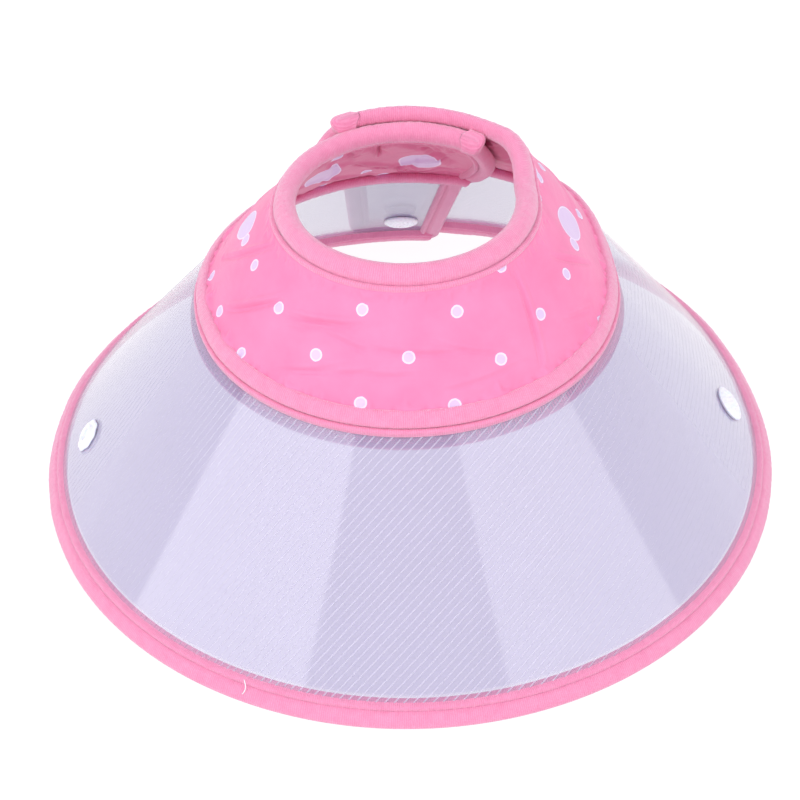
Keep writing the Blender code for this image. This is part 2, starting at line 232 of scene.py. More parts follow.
def stand_off(slant, turn):
    """The sheet's own lift: the overlap, and the slight waves of a flexible sheet."""
    rounds = np.radians(turn)
    wave = 0.6 * np.sin(3 * rounds + 0.7) + 0.4 * np.sin(7 * rounds + 2.1)
    held = smooth((slant - NECK_SLANT) / 0.06) * smooth((140.0 - np.abs(turn)) / 40.0)
    return overlap_lift(slant, turn) + WAVE_HEIGHT * wave * held


def on_cone(slant, turn, lift):
    """The points at these slants, turns and lifts above the sheet's middle surface."""
    angle = np.radians(turn)
    height = lift + stand_off(slant, turn)
    radius = slant * SIN + height * COS
    up = APEX_HEIGHT - slant * COS + height * SIN
    return np.stack([radius * np.sin(angle), -radius * np.cos(angle), up], axis=-1)


def end_reach(slant, reach):
    along = (RIM_SLANT - slant) / (RIM_SLANT - NECK_SLANT)
    rim, neck = reach
    near, far = TAB_SLANTS
    tab = TAB_REACH * np.sin(math.pi * np.clip((slant - near) / (far - near), 0.0, 1.0))
    return rim + along * (neck - rim) + tab


def outer_end(slant):
    return 180.0 + np.degrees(np.arcsin(end_reach(slant, OUTER_END_REACH) / slant)) / SIN


def inner_end(slant):
    return -180.0 - np.degrees(np.arcsin(end_reach(slant, INNER_END_REACH) / slant)) / SIN


def lattice_value(x, y, seed):
    value = np.sin(x * 127.1 + y * 311.7 + seed * 74.7) * 43758.5453
    return value - np.floor(value)


def noise(x, y, seed):
    """Smooth noise from -1 to 1 with a wavelength of about 1."""
    left, low = np.floor(x), np.floor(y)
    across, up = smooth(x - left), smooth(y - low)
    below = lattice_value(left, low, seed) * (1 - across) + lattice_value(left + 1, low, seed) * across
    above = lattice_value(left, low + 1, seed) * (1 - across)
    above = above + lattice_value(left + 1, low + 1, seed) * across
    return 2 * (below * (1 - up) + above * up) - 1


def unrolled(slant, turn):
    """The same places on the unrolled sheet, with the apex at the origin and the front along -Y."""
    angle = np.radians(turn) * SIN
    return np.stack([slant * np.sin(angle), -slant * np.cos(angle)], axis=-1)


def rolled(flat):
    """The slants and turns of places on the unrolled sheet."""
    return np.hypot(flat[:, 0], flat[:, 1]), np.degrees(np.arctan2(flat[:, 0], -flat[:, 1])) / SIN


# --- Material values --------------------------------------------------------------------------------


class Value:
    """A value in a material's node tree. Arithmetic on it adds nodes, so a pattern reads as a formula."""

    def __init__(self, tree, socket):
        self.tree = tree
        self.socket = socket

    def __add__(self, other):
        return calc("ADD", self, other)

    def __sub__(self, other):
        return calc("SUBTRACT", self, other)

    def __mul__(self, other):
        return calc("MULTIPLY", self, other)

    def __truediv__(self, other):
        return calc("DIVIDE", self, other)


def feed(node, inputs):
    """Links each input that is given a Value, and sets the others."""
    for key, value in inputs.items():
        if isinstance(value, Value):
            value.tree.links.new(value.socket, node.inputs[key])
        else:
            node.inputs[key].default_value = value


def put(tree, kind, inputs, output=0, **settings):
    """One output of a new node."""
    node = tree.nodes.new(kind)
    for key, value in settings.items():
        setattr(node, key, value)
    feed(node, inputs)
    return Value(tree, node.outputs[output])


def calc(operation, first, *others):
    inputs = dict(enumerate((first, *others)))
    return put(first.tree, "ShaderNodeMath", inputs, operation=operation)


def mix_colours(share, first, second):
    return put(share.tree, "ShaderNodeMix", {"Factor": share, 6: first, 7: second}, 2, data_type="RGBA")


def ramp(value, span, limits):
    """Goes from the first limit to the second as the value crosses the span."""
    return put(value.tree, "ShaderNodeMapRange", dict(enumerate((value, *span, *limits))))


def grain(place, scale, detail=2.0):
    inputs = {"Vector": place, "Scale": scale, "Detail": detail, "Roughness": 0.6}
    return put(place.tree, "ShaderNodeTexNoise", inputs)


def relief_of(height, strength, distance):
    inputs = {"Strength": strength, "Distance": distance, "Height": height}
    return put(height.tree, "ShaderNodeBump", inputs)


def wave(value, pitch):
    return calc("SINE", value * (math.tau / pitch))


def distance_of(x, y):
    return calc("SQRT", x * x + y * y)


def leaning(x, y, lean):
    """The same place along axes turned by lean."""
    return x * math.cos(lean) + y * math.sin(lean), y * math.cos(lean) - x * math.sin(lean)


def shaded(colour, factor):
    return tuple(part * factor for part in colour[:3]) + (1.0,)


def new_material(name):
    """(the material, its shader, the place on the ribbon from its UV map in metres, that place's x and y)."""
    made = bpy.data.materials.new(name)
    made.use_nodes = True
    tree = made.node_tree
    place = put(tree, "ShaderNodeUVMap", {}, uv_map="flat")
    x, y = [put(tree, "ShaderNodeSeparateXYZ", {0: place}, output) for output in (0, 1)]
    return made, tree.nodes["Principled BSDF"], place, x, y


# --- Materials --------------------------------------------------------------------------------------


def fleece(name, colour, deep):
    """Brushed knit tape: fine ribs across it under a short soft pile."""
    made, shader, place, along, across = new_material(name)
    pile = grain(place, scale=2400.0, detail=3.0)
    patches = grain(place, scale=260.0)
    tufts = grain(place, scale=1100.0)
    ribs = wave(along + patches * 0.0006, KNIT_PITCH) * 0.5 + 0.5
    knit = ribs * (tufts * 1.6 + 0.1)
    shade = knit * 0.40 + pile * 0.95 + (patches * 0.6 - 0.42)
    feed(shader, {
        "Base Color": mix_colours(shade, deep, colour),
        "Normal": relief_of(knit * 0.6 + pile, strength=0.7, distance=0.0003),
        "Roughness": 0.95,
        "Specular IOR Level": 0.1,
        "Sheen Weight": 1.0,
        "Sheen Roughness": 0.45,
        "Sheen Tint": (1.0, 0.86, 0.94, 1.0),
    })
    return made


def oval(x, y, centre, lengths, lean):
    """How far out a place is from an oval's centre: 1 on its edge."""
    along, across = leaning(x - centre[0], y - centre[1], lean)
    return distance_of(along / lengths[0], across / lengths[1])


def lattice_dots(x, y, shift):
    """How far out a place is from the nearest dot of one lattice, in dot radii."""
    gaps = []
    for place, start, pitch in zip(leaning(x, y, DOT_LEAN), leaning(*DOT_TOP, DOT_LEAN), DOT_PITCH):
        steps = place / pitch + (LATTICE_START - shift - start / pitch)
        gaps.append((calc("FRACT", steps) - 0.5) * pitch)
    return distance_of(*gaps) / DOT_RADIUS


def dotted_cloth(name, colour, deep, spots, bare):
    """Smooth woven cloth printed with pale dots, and with larger oval spots in places bare of dots."""
    made, shader, place, x, y = new_material(name)
    cloud = grain(place, scale=70.0, detail=3.0)
    ragged = grain(place, scale=900.0) * 0.0003 - 0.00015
    print_x, print_y = x + ragged, y + ragged
    out = calc("MINIMUM", *[lattice_dots(print_x, print_y, shift) for shift in (0.0, 0.5)])
    for centre, lengths in bare:
        out = out + calc("LESS_THAN", oval(x, y, centre, lengths, 0.0), 1.0) * FAR_OUT
    for centre, lengths, lean in spots:
        radii = sum(lengths) / 2 / DOT_RADIUS
        spot = (oval(print_x, print_y, centre, lengths, lean) - 1.0) * radii + 1.0
        out = calc("MINIMUM", out, spot)
    printed = calc("LESS_THAN", out, 1.0)
    weave = wave(x, YARN_PITCH) * wave(y, YARN_PITCH)
    ground = mix_colours(cloud * 1.1 - 0.15 + weave * 0.06, deep, colour)
    ground = mix_colours(calc("LESS_THAN", out, OUTLINE_REACH) * 0.45, ground, DOT_OUTLINE)
    ink = mix_colours(calc("LESS_THAN", out, DOT_MIDDLE), DOT_EDGE, DOT_COLOUR)
    feed(shader, {
        "Base Color": mix_colours(printed, ground, ink),
        "Normal": relief_of(weave * 0.4 + printed * 0.8, strength=0.25, distance=0.00008),
        "Roughness": printed * -0.12 + 0.55,
        "Specular IOR Level": 0.35,
        "Sheen Weight": 0.25,
        "Sheen Roughness": 0.4,
    })
    return made


def by_slant(x, y, alpha, clear_alpha):
    """The sheet's haze: it looks clearer where a tape is sewn close behind it."""
    slant = distance_of(x, y)
    hazy = calc("MINIMUM", ramp(slant, HEM_HAZE, (0.55, 1.0)), ramp(slant, RIM_HAZE, (1.0, 0.0)))
    return hazy * (alpha - clear_alpha) + clear_alpha


def by_side(x, y, alpha, side_alpha):
    """The moulded lines' strength, which carries their painted highlight and falls off towards the sides."""
    return ramp(calc("ABSOLUTE", x), LINE_FADE, (alpha, side_alpha))


def cloudy_plastic(name, colour, roughness, mottle, haze, *haze_limits):
    """Thin cloudy plastic with a clear gloss."""
    made, shader, place, x, y = new_material(name)
    flow = grain(place, scale=45.0, detail=4.0)
    fine = grain(place, scale=1300.0)
    feed(shader, {
        "Base Color": mix_colours(flow, shaded(colour, 1 - mottle), shaded(colour, 1 + mottle)),
        "Normal": relief_of(fine, strength=0.05, distance=0.0001),
        "Roughness": fine * 0.06 + (roughness - 0.03),
        "Alpha": haze(x, y, *haze_limits),
        "IOR": 1.5,
        "Specular IOR Level": 1.0,
        "Coat Weight": 1.0,
        "Coat Roughness": 0.05,
    })
    return made


def moulded_plastic(name, colour):
    """White injection-moulded plastic with a faint orange peel."""
    made, shader, place, x, y = new_material(name)
    peel = grain(place, scale=900.0)
    feed(shader, {
        "Base Color": mix_colours(peel, shaded(colour, 0.93), colour),
        "Normal": relief_of(peel, strength=0.04, distance=0.0001),
        "Roughness": peel * 0.12 + 0.22,
        "Subsurface Weight": 0.2,
        "Subsurface Scale": 0.002,
    })
    return made


def twisted_thread(name, colour):
    made, shader, place, x, y = new_material(name)
    lay = wave(x + y, THREAD_TWIST) * 0.3 + 0.5
    feed(shader, {"Base Color": mix_colours(lay, shaded(colour, 0.8), colour), "Roughness": 0.6})
    return made


def plain_floor():
    """A pale lit table: it glows a little, so that a shadow on it stays soft."""
    made, shader, place, x, y = new_material("pale_floor")
    faint = grain(put(place.tree, "ShaderNodeTexCoord", {}, "Object"), scale=6.0)
    feed(shader, {
        "Base Color": mix_colours(faint, FLOOR_DARK, FLOOR_PALE),
        "Roughness": 0.9,
        "Specular IOR Level": 0.0,
        "Emission Color": (1.0, 1.0, 1.0, 1.0),
        "Emission Strength": 0.90,
    })
    return made


def flat_spot(slant, turn):
    """The flat place of a printed spot."""
    return tuple(unrolled(np.array(slant), np.array(turn)).tolist())


# The larger spots among the printed dots, as (centre, half lengths, lean), and the ovals bare of dots
COVER_SPOTS = (
    (flat_spot(0.0870, -99.0), (0.0054, 0.0078), math.radians(46.0)),
    (flat_spot(0.0860, -89.0), (0.0024, 0.0026), math.radians(60.0)),
    (flat_spot(0.0890, 98.0), (0.0062, 0.0090), math.radians(-51.0)),
    (flat_spot(0.0900, 87.5), (0.0026, 0.0028), math.radians(-51.0)),
    (flat_spot(0.0735, 111.5), (0.0036, 0.0026), math.radians(-20.0)),
)
COVER_BARE = (
    (flat_spot(0.0870, -99.0), (0.0140, 0.0120)),
    (flat_spot(0.0890, 98.0), (0.0140, 0.0130)),
)
LINING_SPOTS = (
    (flat_spot(0.0930, -147.5), (0.0074, 0.0092), math.radians(43.0)),
    (flat_spot(0.0775, -149.5), (0.0032, 0.0026), 0.0),
    (flat_spot(0.1030, -166.5), (0.0026, 0.0022), 0.0),
    (flat_spot(0.1110, -173.0), (0.0030, 0.0024), 0.0),
    (flat_spot(0.1120, -152.5), (0.0038, 0.0022), 0.0),
    (flat_spot(0.0935, -185.0), (0.0080, 0.0076), math.radians(100.0)),
)
LINING_BARE = ((flat_spot(0.0950, -170.0), (0.0420, 0.0420)),)


def make_materials():
    return {
        "fleece": fleece("pink_fleece", PINK_TAPE, PINK_TAPE_DEEP),
        "cover": dotted_cloth("dotted_cover", PINK_COVER, PINK_COVER_DEEP, COVER_SPOTS, COVER_BARE),
        # The lining's cloth colours are darkened as painted shade
        "lining": dotted_cloth("dotted_lining", LINING_PINK_IN_SHADE, LINING_PINK_DEEP_IN_SHADE, LINING_SPOTS, LINING_BARE),
        "sheet": cloudy_plastic("cloudy_sheet", SHEET_COLOUR, 0.09, 0.03, by_slant, 0.52, 0.26),
        # The moulded lines' paler colour is a painted highlight
        "lines": cloudy_plastic("moulded_lines_painted_highlight", LINE_HIGHLIGHT_COLOUR, 0.28, 0.02, by_side, 0.46, 0.10),
        "snap": moulded_plastic("white_snap", SNAP_COLOUR),
        "thread": twisted_thread("pink_thread", THREAD_PINK),
        "loose_thread": twisted_thread("white_thread", THREAD_WHITE),
        "hooks": fleece("hook_and_loop", PINK_TAPE, PINK_TAPE_DEEP),
    }


# --- Mesh building ----------------------------------------------------------------------------------


def make_piece(name, points, faces, uv, finish, normals=None):
    """A shown mesh with a UV map in metres."""
    mesh = bpy.data.meshes.new(name)
    mesh.from_pydata(points.reshape(-1, 3).tolist(), [], faces)
    layer = mesh.uv_layers.new(name="flat")
    corner = np.empty(len(mesh.loops), np.int32)
    mesh.loops.foreach_get("vertex_index", corner)
    layer.data.foreach_set("uv", uv.reshape(-1, 2)[corner].ravel())
    mesh.shade_smooth()
    if normals is not None:
        mesh.normals_split_custom_set_from_vertices(normals.reshape(-1, 3).tolist())
    mesh.materials.append(finish)
    made = bpy.data.objects.new(name, mesh)
    bpy.context.scene.collection.objects.link(made)
    return made


def grid_faces(columns, rows, first_cap, last_cap):
    """The faces of a tube of grid points: rows close on themselves, and a cap closes an end."""
    index = np.arange(columns * rows).reshape(columns, rows)
    following = np.roll(index, -1, axis=1)
    walls = np.stack([index[:-1], following[:-1], following[1:], index[1:]], axis=-1)
    faces = walls.reshape(-1, 4).tolist()
    pairs = range(rows // 2 - 1)
    if first_cap:
        row = index[0]
        faces += [[row[i + 1], row[i], row[-1 - i], row[-2 - i]] for i in pairs]
    if last_cap:
        row = index[-1]
        faces += [[row[i], row[i + 1], row[-2 - i], row[-1 - i]] for i in pairs]
    return [[int(corner) for corner in face] for face in faces]


def sheet_faces(columns, rows, first=0):
    """The faces of an open grid of points, numbered from first."""
    index = first + np.arange(columns * rows).reshape(columns, rows)
    return np.stack([index[:-1, :-1], index[1:, :-1], index[1:, 1:], index[:-1, 1:]], axis=-1).reshape(-1, 4)


def grid_normals(points):
    """The smooth normals of a tube of grid points."""
    along = np.gradient(points, axis=0)
    across = np.roll(points, -1, axis=1) - np.roll(points, 1, axis=1)
    normals = np.cross(across, along)
    return normals / np.maximum(np.linalg.norm(normals, axis=-1, keepdims=True), 1e-12)


def outward(points):
    """True if the tube's faces, as grid_faces makes them, point outwards."""
    middle = points.shape[0] // 2
    ring = points[middle]
    centre = ring.mean(axis=0)
    side = np.cross(np.roll(ring, -1, axis=0) - ring, points[middle + 1] - ring)
    return float((side * (ring - centre)).sum()) > 0.0


def stations(slants, step, inset):
    """The turn of each column at each slant, and the index of the column at the cut."""
    start = inner_end(slants) + degrees_along(inset, slants)
    stop = outer_end(slants) - degrees_along(inset, slants)
    left = np.linspace(0.0, 1.0, int((SPLIT_TURN + 205.0) / step))[:, None]
    right = np.linspace(0.0, 1.0, int((205.0 - SPLIT_TURN) / step))[1:, None]
    turns = np.vstack([start + (SPLIT_TURN - start) * left, SPLIT_TURN + (stop - SPLIT_TURN) * right])
    return turns, len(left) - 1


def bend(piece, side):
    """Bakes a left or right piece's transform into its mesh; the hinge line is worked out but not used."""
    wing, joint = SIDES[side]
    hinge = Vector(JOINTS[joint]["pos_m"])
    turn = math.radians(HINGE_TURN)
    sign = 1.0 if side == "right" else -1.0
    forward = Vector((sign * math.cos(turn), math.sin(turn), 0.0))
    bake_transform(piece)


def facing_out(points, uv):
    """The same tube, with its rows turned round if its faces would point inwards."""
    return (points, uv) if outward(points) else (points[:, ::-1], uv[:, ::-1])


def tube_piece(name, points, uv, finish, first_cap=True, last_cap=True, normals=None):
    faces = grid_faces(points.shape[0], points.shape[1], first_cap, last_cap)
    return make_piece(name, points, faces, uv, finish, normals)


def two_faced(top, under, flat):
    """(points, uv) of one closed skin over two grids, with the same flat places on both."""
    points = np.concatenate([top, under[:, ::-1]], axis=1)
    return points, np.concatenate([flat, flat[:, ::-1]], axis=1)


def split_ribbon(name, points, uv, split, finish, stands_for):
    """Two pieces from one tube of grid points, cut at its split column."""
    points, uv = facing_out(points, uv)
    normals = grid_normals(points)
    made = {}
    for side, part in (("left", slice(0, split + 1)), ("right", slice(split, None))):
        ends = (side == "left", side == "right")
        piece = tube_piece(f"{name}_{side}", points[part], uv[part], finish, *ends, normals[part])
        bend(piece, side)
        wing = SIDES[side][0]
        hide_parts(*[f"{node}_{body}" for node in stands_for for body in ("front", wing)])
        made[side] = piece
    return made


def wrap(outline, step, inset, relief):
    """A tube of grid points from an outline of (slant, lift): (points, turns, split)."""
    slants, lifts = np.array(outline).T
    turns, split = stations(slants, step, inset)
    grid_slants = np.broadcast_to(slants, turns.shape)
    lifts = relief(grid_slants, turns, np.broadcast_to(lifts, turns.shape))
    points = on_cone(grid_slants, turns, lifts)
    return points, turns, split


def tape_uv(outline, turns, reference):
    """(distance along the tape, distance round its section), in metres."""
    spots = np.array(outline)
    steps = np.linalg.norm(np.diff(spots, axis=0, prepend=spots[:1]), axis=1)
    across = np.broadcast_to(np.cumsum(steps), turns.shape)
    return np.stack([arc_along(turns, reference), across], axis=-1)


# --- Tapes ------------------------------------------------------------------------------------------


def ridge_points(start, stop, groove, ridge):
    """A tape's narrow ridge from its groove down to the sheet. Two close points keep its edge sharp."""
    points = []
    for share in (0.0, 0.1, 0.22, 0.36, 0.5, 0.65, 0.8, 0.92, 0.98, 1.0):
        base = groove + (SHEET_HALF - groove) * share**2
        points.append((start + (stop - start) * share, base + ridge * math.sin(math.pi * share**0.8)))
    return points


def half_section(roll, roll_width, groove, ridge, width):
    """One face of a folded tape: (distance in from its fold, height), with a stitched groove."""
    points = []
    for lean in np.linspace(0.0, math.pi / 2, 6):
        points.append((roll * (1 - math.cos(lean)), roll * math.sin(lean)))
    for share in np.linspace(0.0, 1.0, 6)[1:]:
        height = groove + (roll - groove) * math.sqrt(1 - share**2.4)
        points.append((roll + (roll_width - roll) * share, height))
    points += ridge_points(roll_width, width, groove, ridge)[1:]
    return points


def folded_outline(nose, side, tape, spread=0.0):
    """The closed outline of a tape folded over an edge, its fold at nose, lying towards side.

    Its inner half reaches further by spread.
    """
    face = half_section(**tape)
    wider = {key: tape[key] + spread for key in ("roll_width", "width")}
    inside = half_section(**{**tape, **wider})
    upper = [(nose + side * inward, height) for inward, height in reversed(face)]
    lower = [(nose + side * inward, -height) for inward, height in inside[1:]]
    return upper + lower


def hem_outline(tape, side):
    """The closed outline of a tape sewn down on one face of the sheet."""
    near, groove_slant, far = tape["slants"]
    roll, groove, ridge = tape["roll"], tape["groove"], tape["ridge"]
    points = [(near + 0.0004, SHEET_HALF)]
    for lean in np.linspace(0.12, math.pi, 11)[:-1]:
        slant = near + (groove_slant - near) * (1 - math.cos(lean)) / 2
        points.append((slant, groove + (roll - groove) * math.sin(lean) ** 0.55))
    points += ridge_points(groove_slant, far, groove, ridge)
    return [(slant, side * height) for slant, height in points]


def soft_relief(reference, seed, fullness, depth=0.00016):
    """The uneven height of hand-fed tape: slow swells, a pucker at each stitch, and a fine pile."""

    def relief(slants, turns, lifts):
        along = arc_along(turns, reference)
        swell = noise(along / 0.011, slants / 0.004, seed) * depth
        pucker = np.cos(along * math.tau / STITCH_PITCH) * 0.00005
        pile = noise(along / 0.0013, slants / 0.0008 + np.sign(lifts) * 40, seed + 3) * 0.00008
        free = np.clip((np.abs(lifts) - SHEET_HALF) / 0.0008, 0.0, 1.0)
        return lifts * fullness(turns, lifts) + np.sign(lifts) * free * (swell + pucker + pile)

    return relief


def rest_on_floor(points):
    """Presses the tape's lowest line flat where it meets the floor."""
    points[..., 2] = np.maximum(points[..., 2], CAD_LOW.z)
    return points


def even(turns, lifts):
    return 1.0


def pressed_neck(turns, lifts):
    """Where the wings overlap, the outer one's neck roll is pressed flatter on its outer face."""
    overlapped = smooth((turns - 118.0) / 30.0)
    return 1.0 - 0.42 * overlapped * (lifts > 0)


def loose_at_back(turns, lifts):
    """Inside the back, the tape is bunched up and stands off the sheet."""
    return 1.0 + 0.55 * smooth((np.abs(turns) - 100.0) / 50.0) * (lifts < 0) * (np.abs(lifts) > 0.0011)


def make_ring_tapes(finish):
    """The tapes on the rim and the neck edge, and on the two lower edges of the padded collar."""
    rim = folded_outline(RIM_NOSE, -1, RIM_TAPE, RIM_INSIDE_SPREAD)
    neck = folded_outline(NECK_NOSE, 1, NECK_TAPE)
    # Name, outline, the slant its length is measured at, column step in degrees, fullness, seed
    rings = (
        ("rim_tape", rim, RIM_SLANT, 0.38, loose_at_back, 1),
        ("neck_tape", neck, NECK_SLANT, 0.9, pressed_neck, 2),
        ("cover_hem_tape", hem_outline(COVER_HEM, 1), 0.113, 0.6, even, 3),
        ("lining_hem_tape", hem_outline(LINING_HEM, -1), 0.117, 0.8, loose_at_back, 4),
    )
    for name, outline, reference, step, fullness, seed in rings:
        node = name.replace("tape", "binding")
        inset = RING_INSET + corner_cut(np.array(outline)[:, 0], NECK_NOSE, RIM_NOSE)
        points, turns, split = wrap(outline, step, inset, soft_relief(reference, seed, fullness))
        if node == "rim_binding":
            points = rest_on_floor(points)
        uv = tape_uv(outline, turns, reference)
        for piece in split_ribbon(name, points, uv, split, finish, (node,)).values():
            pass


# The end tapes: their two sides as (side, edge, the way in), and the sleeve over the neck's roll
END_SIDES = (("right", outer_end, -1.0), ("left", inner_end, 1.0))
SLEEVE_NOSE = 0.0030
SLEEVE_THICKNESS = 0.0006
SLEEVE_LENGTH = 0.0125
SLEEVE_FADE = 0.0035
EDGE_FALL = 0.0012
NECK_RIDGE = {"height": 0.0022, "from_edge": 0.0055, "half_width": 0.0026}
COLLAR_FOOT = 0.119
COLLAR_FADE = 0.010
COLLAR_SWELL = 0.42


def neck_bulge(slant):
    """The half thickness of the neck's roll at this slant, which the end tapes are folded over."""
    from_edge = slant - NECK_SLANT
    roll = NECK_TAPE["roll"] * np.sqrt(np.clip(1 - (from_edge / NECK_TAPE["roll"]) ** 2, 0.0, 1.0))
    away = (from_edge - NECK_RIDGE["from_edge"]) / NECK_RIDGE["half_width"]
    return np.maximum(roll, NECK_RIDGE["height"] * np.exp(-(away**2)))


def by_inner_edge(inwards):
    """Rises from 0 to 1 over the last stretch before the end tape's inner edge."""
    return smooth((inwards - END_TAPE["width"] + EDGE_FALL) / EDGE_FALL)


def over_collar(slants):
    """How much fuller the end tape is where it also covers the padded collar."""
    return 1 + COLLAR_SWELL * smooth((COLLAR_FOOT - slants) / COLLAR_FADE)


def sleeve_height(slants, inwards):
    """The height of the sleeve that the end tape makes round the end of the neck's roll."""
    nose = np.sqrt(np.clip(1 - (1 - np.minimum(inwards / SLEEVE_NOSE, 1.0)) ** 2, 0.0, 1.0))
    return SHEET_HALF + (neck_bulge(slants) + SLEEVE_THICKNESS) * nose * (1.0 - by_inner_edge(inwards))


def corner_cut(slants, top, foot):
    """How far the end tape curves in at its top and its foot, where the sheet's corners are rounded."""
    near_top = np.clip(1 - (slants - top) / NECK_CORNER, 0.0, 1.0)
    near_foot = np.clip(1 - (foot - slants) / RIM_CORNER, 0.0, 1.0)
    cut_top = NECK_CORNER * (1 - np.sqrt(1 - near_top**2 * 0.98))
    return cut_top + RIM_CORNER * (1 - np.sqrt(1 - near_foot**2 * 0.98))


def make_end_tapes(finish):
    """The tape folded over each free end of the sheet, from over the neck's roll down to the rim."""
    face = np.array(half_section(**END_TAPE))
    inwards, heights = np.concatenate([face[::-1], face[1:] * (1, -1)]).T
    top, foot = NECK_NOSE - 0.0003, RIM_NOSE - 0.0003
    slants = top + (foot - top) * np.linspace(0.0, 1.0, 210)
    steps = np.abs(np.diff(inwards, prepend=inwards[:1])) + np.abs(np.diff(heights, prepend=heights[:1]))
    for side, edge, direction in END_SIDES:
        grid_slants = np.broadcast_to(slants[:, None], (len(slants), len(inwards)))
        near_top = 1 - smooth((grid_slants - top) / 0.0040)
        grid_slants = grid_slants + 0.0016 * by_inner_edge(inwards) * near_top
        tucked = corner_cut(grid_slants, top, foot)
        turns = edge(grid_slants) + direction * degrees_along(inwards + tucked, grid_slants)
        lumps = 1 + 0.07 * noise(grid_slants / 0.006, inwards / 0.003, 11)
        pile = noise(grid_slants / 0.0012, inwards / 0.0009, 12) * 0.00008
        plain = np.abs(heights) * over_collar(grid_slants) * lumps
        sleeve = sleeve_height(grid_slants, inwards)
        by_roll = smooth((NECK_NOSE + SLEEVE_LENGTH - grid_slants) / SLEEVE_FADE)
        end = np.clip((foot - grid_slants) / 0.0018, 0.02, 1.0)
        rounded = np.sqrt(1 - (1 - end) ** 2)
        lifts = np.sign(heights) * ((plain + (sleeve - plain) * by_roll) * rounded + pile)
        lifts = lifts * (pressed_neck(turns, lifts) if side == "right" else 1.0)
        points = rest_on_floor(on_cone(grid_slants, turns, lifts))
        across = np.broadcast_to(np.cumsum(steps), grid_slants.shape)
        points, uv = facing_out(points, np.stack([grid_slants, across], axis=-1))
        wing = SIDES[side][0]
        piece = tube_piece(f"end_tape_{side}", points, uv, finish, normals=grid_normals(points))
        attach(piece, wing)
        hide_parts(f"end_binding_{wing}")


# --- Stitches ---------------------------------------------------------------------------------------


def unit(vectors):
    return vectors / np.linalg.norm(vectors, axis=-1, keepdims=True)


def ring_round(across, up, sides):
    """Unit circles round each point of a path, from its two ways across."""
    sides = sides[:, None]
    return across[..., None, :] * np.cos(sides) + up[..., None, :] * np.sin(sides)


def thread_tubes(starts, place):
    """Points, faces and UVs of short stitches: place(distance, lift) gives points along a seam."""
    knots = np.linspace(0.0, 1.0, 6)
    sides = np.linspace(0.0, math.tau, 6, endpoint=False)
    centre = starts[:, None] + STITCH_LENGTH * knots
    arch = np.broadcast_to(STITCH_ARCH * np.sin(math.pi * knots) ** 0.5, centre.shape)
    low = place(centre, arch - STITCH_SINK)
    up = unit(place(centre, arch - STITCH_SINK + 0.001) - low)
    across = np.cross(unit(np.gradient(low, axis=1)), up)
    thick = THREAD_RADIUS * (0.35 + 0.65 * np.sin(math.pi * knots))[:, None, None]
    points = low[:, :, None] + ring_round(across, up, sides) * thick
    uv = np.stack(np.broadcast_arrays(centre[:, :, None], sides * THREAD_RADIUS), axis=-1)
    block = np.array(grid_faces(len(knots), len(sides), True, True))
    firsts = np.arange(len(starts)) * len(knots) * len(sides)
    faces = (block + firsts[:, None, None]).reshape(-1, 4).tolist()
    return points, faces, uv


def make_ring_stitches(finish):
    """A row of stitches in the groove of each ring tape."""
    rim_seam = RIM_NOSE - RIM_TAPE["roll_width"]
    neck_seam = NECK_NOSE + NECK_TAPE["roll_width"]
    rows = (
        ("rim_stitches", rim_seam, RIM_TAPE["groove"], 1),
        ("rim_stitches_inside", rim_seam, RIM_TAPE["groove"], -1),
        ("neck_stitches", neck_seam, NECK_TAPE["groove"], 1),
        ("neck_stitches_inside", neck_seam, NECK_TAPE["groove"], -1),
        ("cover_hem_stitches", COVER_HEM["slants"][1], COVER_HEM["groove"], 1),
        ("lining_hem_stitches", LINING_HEM["slants"][1], LINING_HEM["groove"], -1),
    )
    for name, slant, groove, face in rows:
        margin = degrees_along(STITCH_MARGIN, slant)
        start, stop = inner_end(slant) + margin, outer_end(slant) - margin

        def place(distance, lift):
            turns = degrees_along(distance, slant)
            return on_cone(np.full_like(distance, slant), turns, face * (groove + lift))

        for side, first, last in (("left", start, SPLIT_TURN), ("right", SPLIT_TURN, stop)):
            first, last = arc_along(first, slant), arc_along(last, slant)
            points, faces, uv = thread_tubes(np.arange(first, last - STITCH_LENGTH, STITCH_PITCH), place)
            piece = make_piece(f"{name}_{side}", points, faces, uv, finish)
            bend(piece, side)


def make_end_stitches(finish):
    """A row of stitches on each face of each end tape."""
    distances = np.arange(0.074, RIM_NOSE - STITCH_MARGIN, STITCH_PITCH)
    for side, edge, direction in END_SIDES:
        for face, suffix in ((1, ""), (-1, "_inside")):

            def place(distance, lift):
                turns = edge(distance) + direction * degrees_along(END_TAPE["roll_width"], distance)
                return on_cone(distance, turns, face * (END_TAPE["groove"] * over_collar(distance) + lift))

            points, faces, uv = thread_tubes(distances, place)
            piece = make_piece(f"end_stitches{suffix}_{side}", points, faces, uv, finish)
            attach(piece, SIDES[side][0])


# --- The padded collar ------------------------------------------------------------------------------

CREASE_DEPTH = 2.2
REFINE = 3
CLOTH_FRAMES = 20
CLOTH_SCALE = 10.0
CLOTH_RULES = {
    "quality": 6, "mass": 0.2, "tension_stiffness": 20, "compression_stiffness": 20, "shear_stiffness": 8,
}
MOST_PUFF = 0.0011
CREASE_SLANT = 0.092


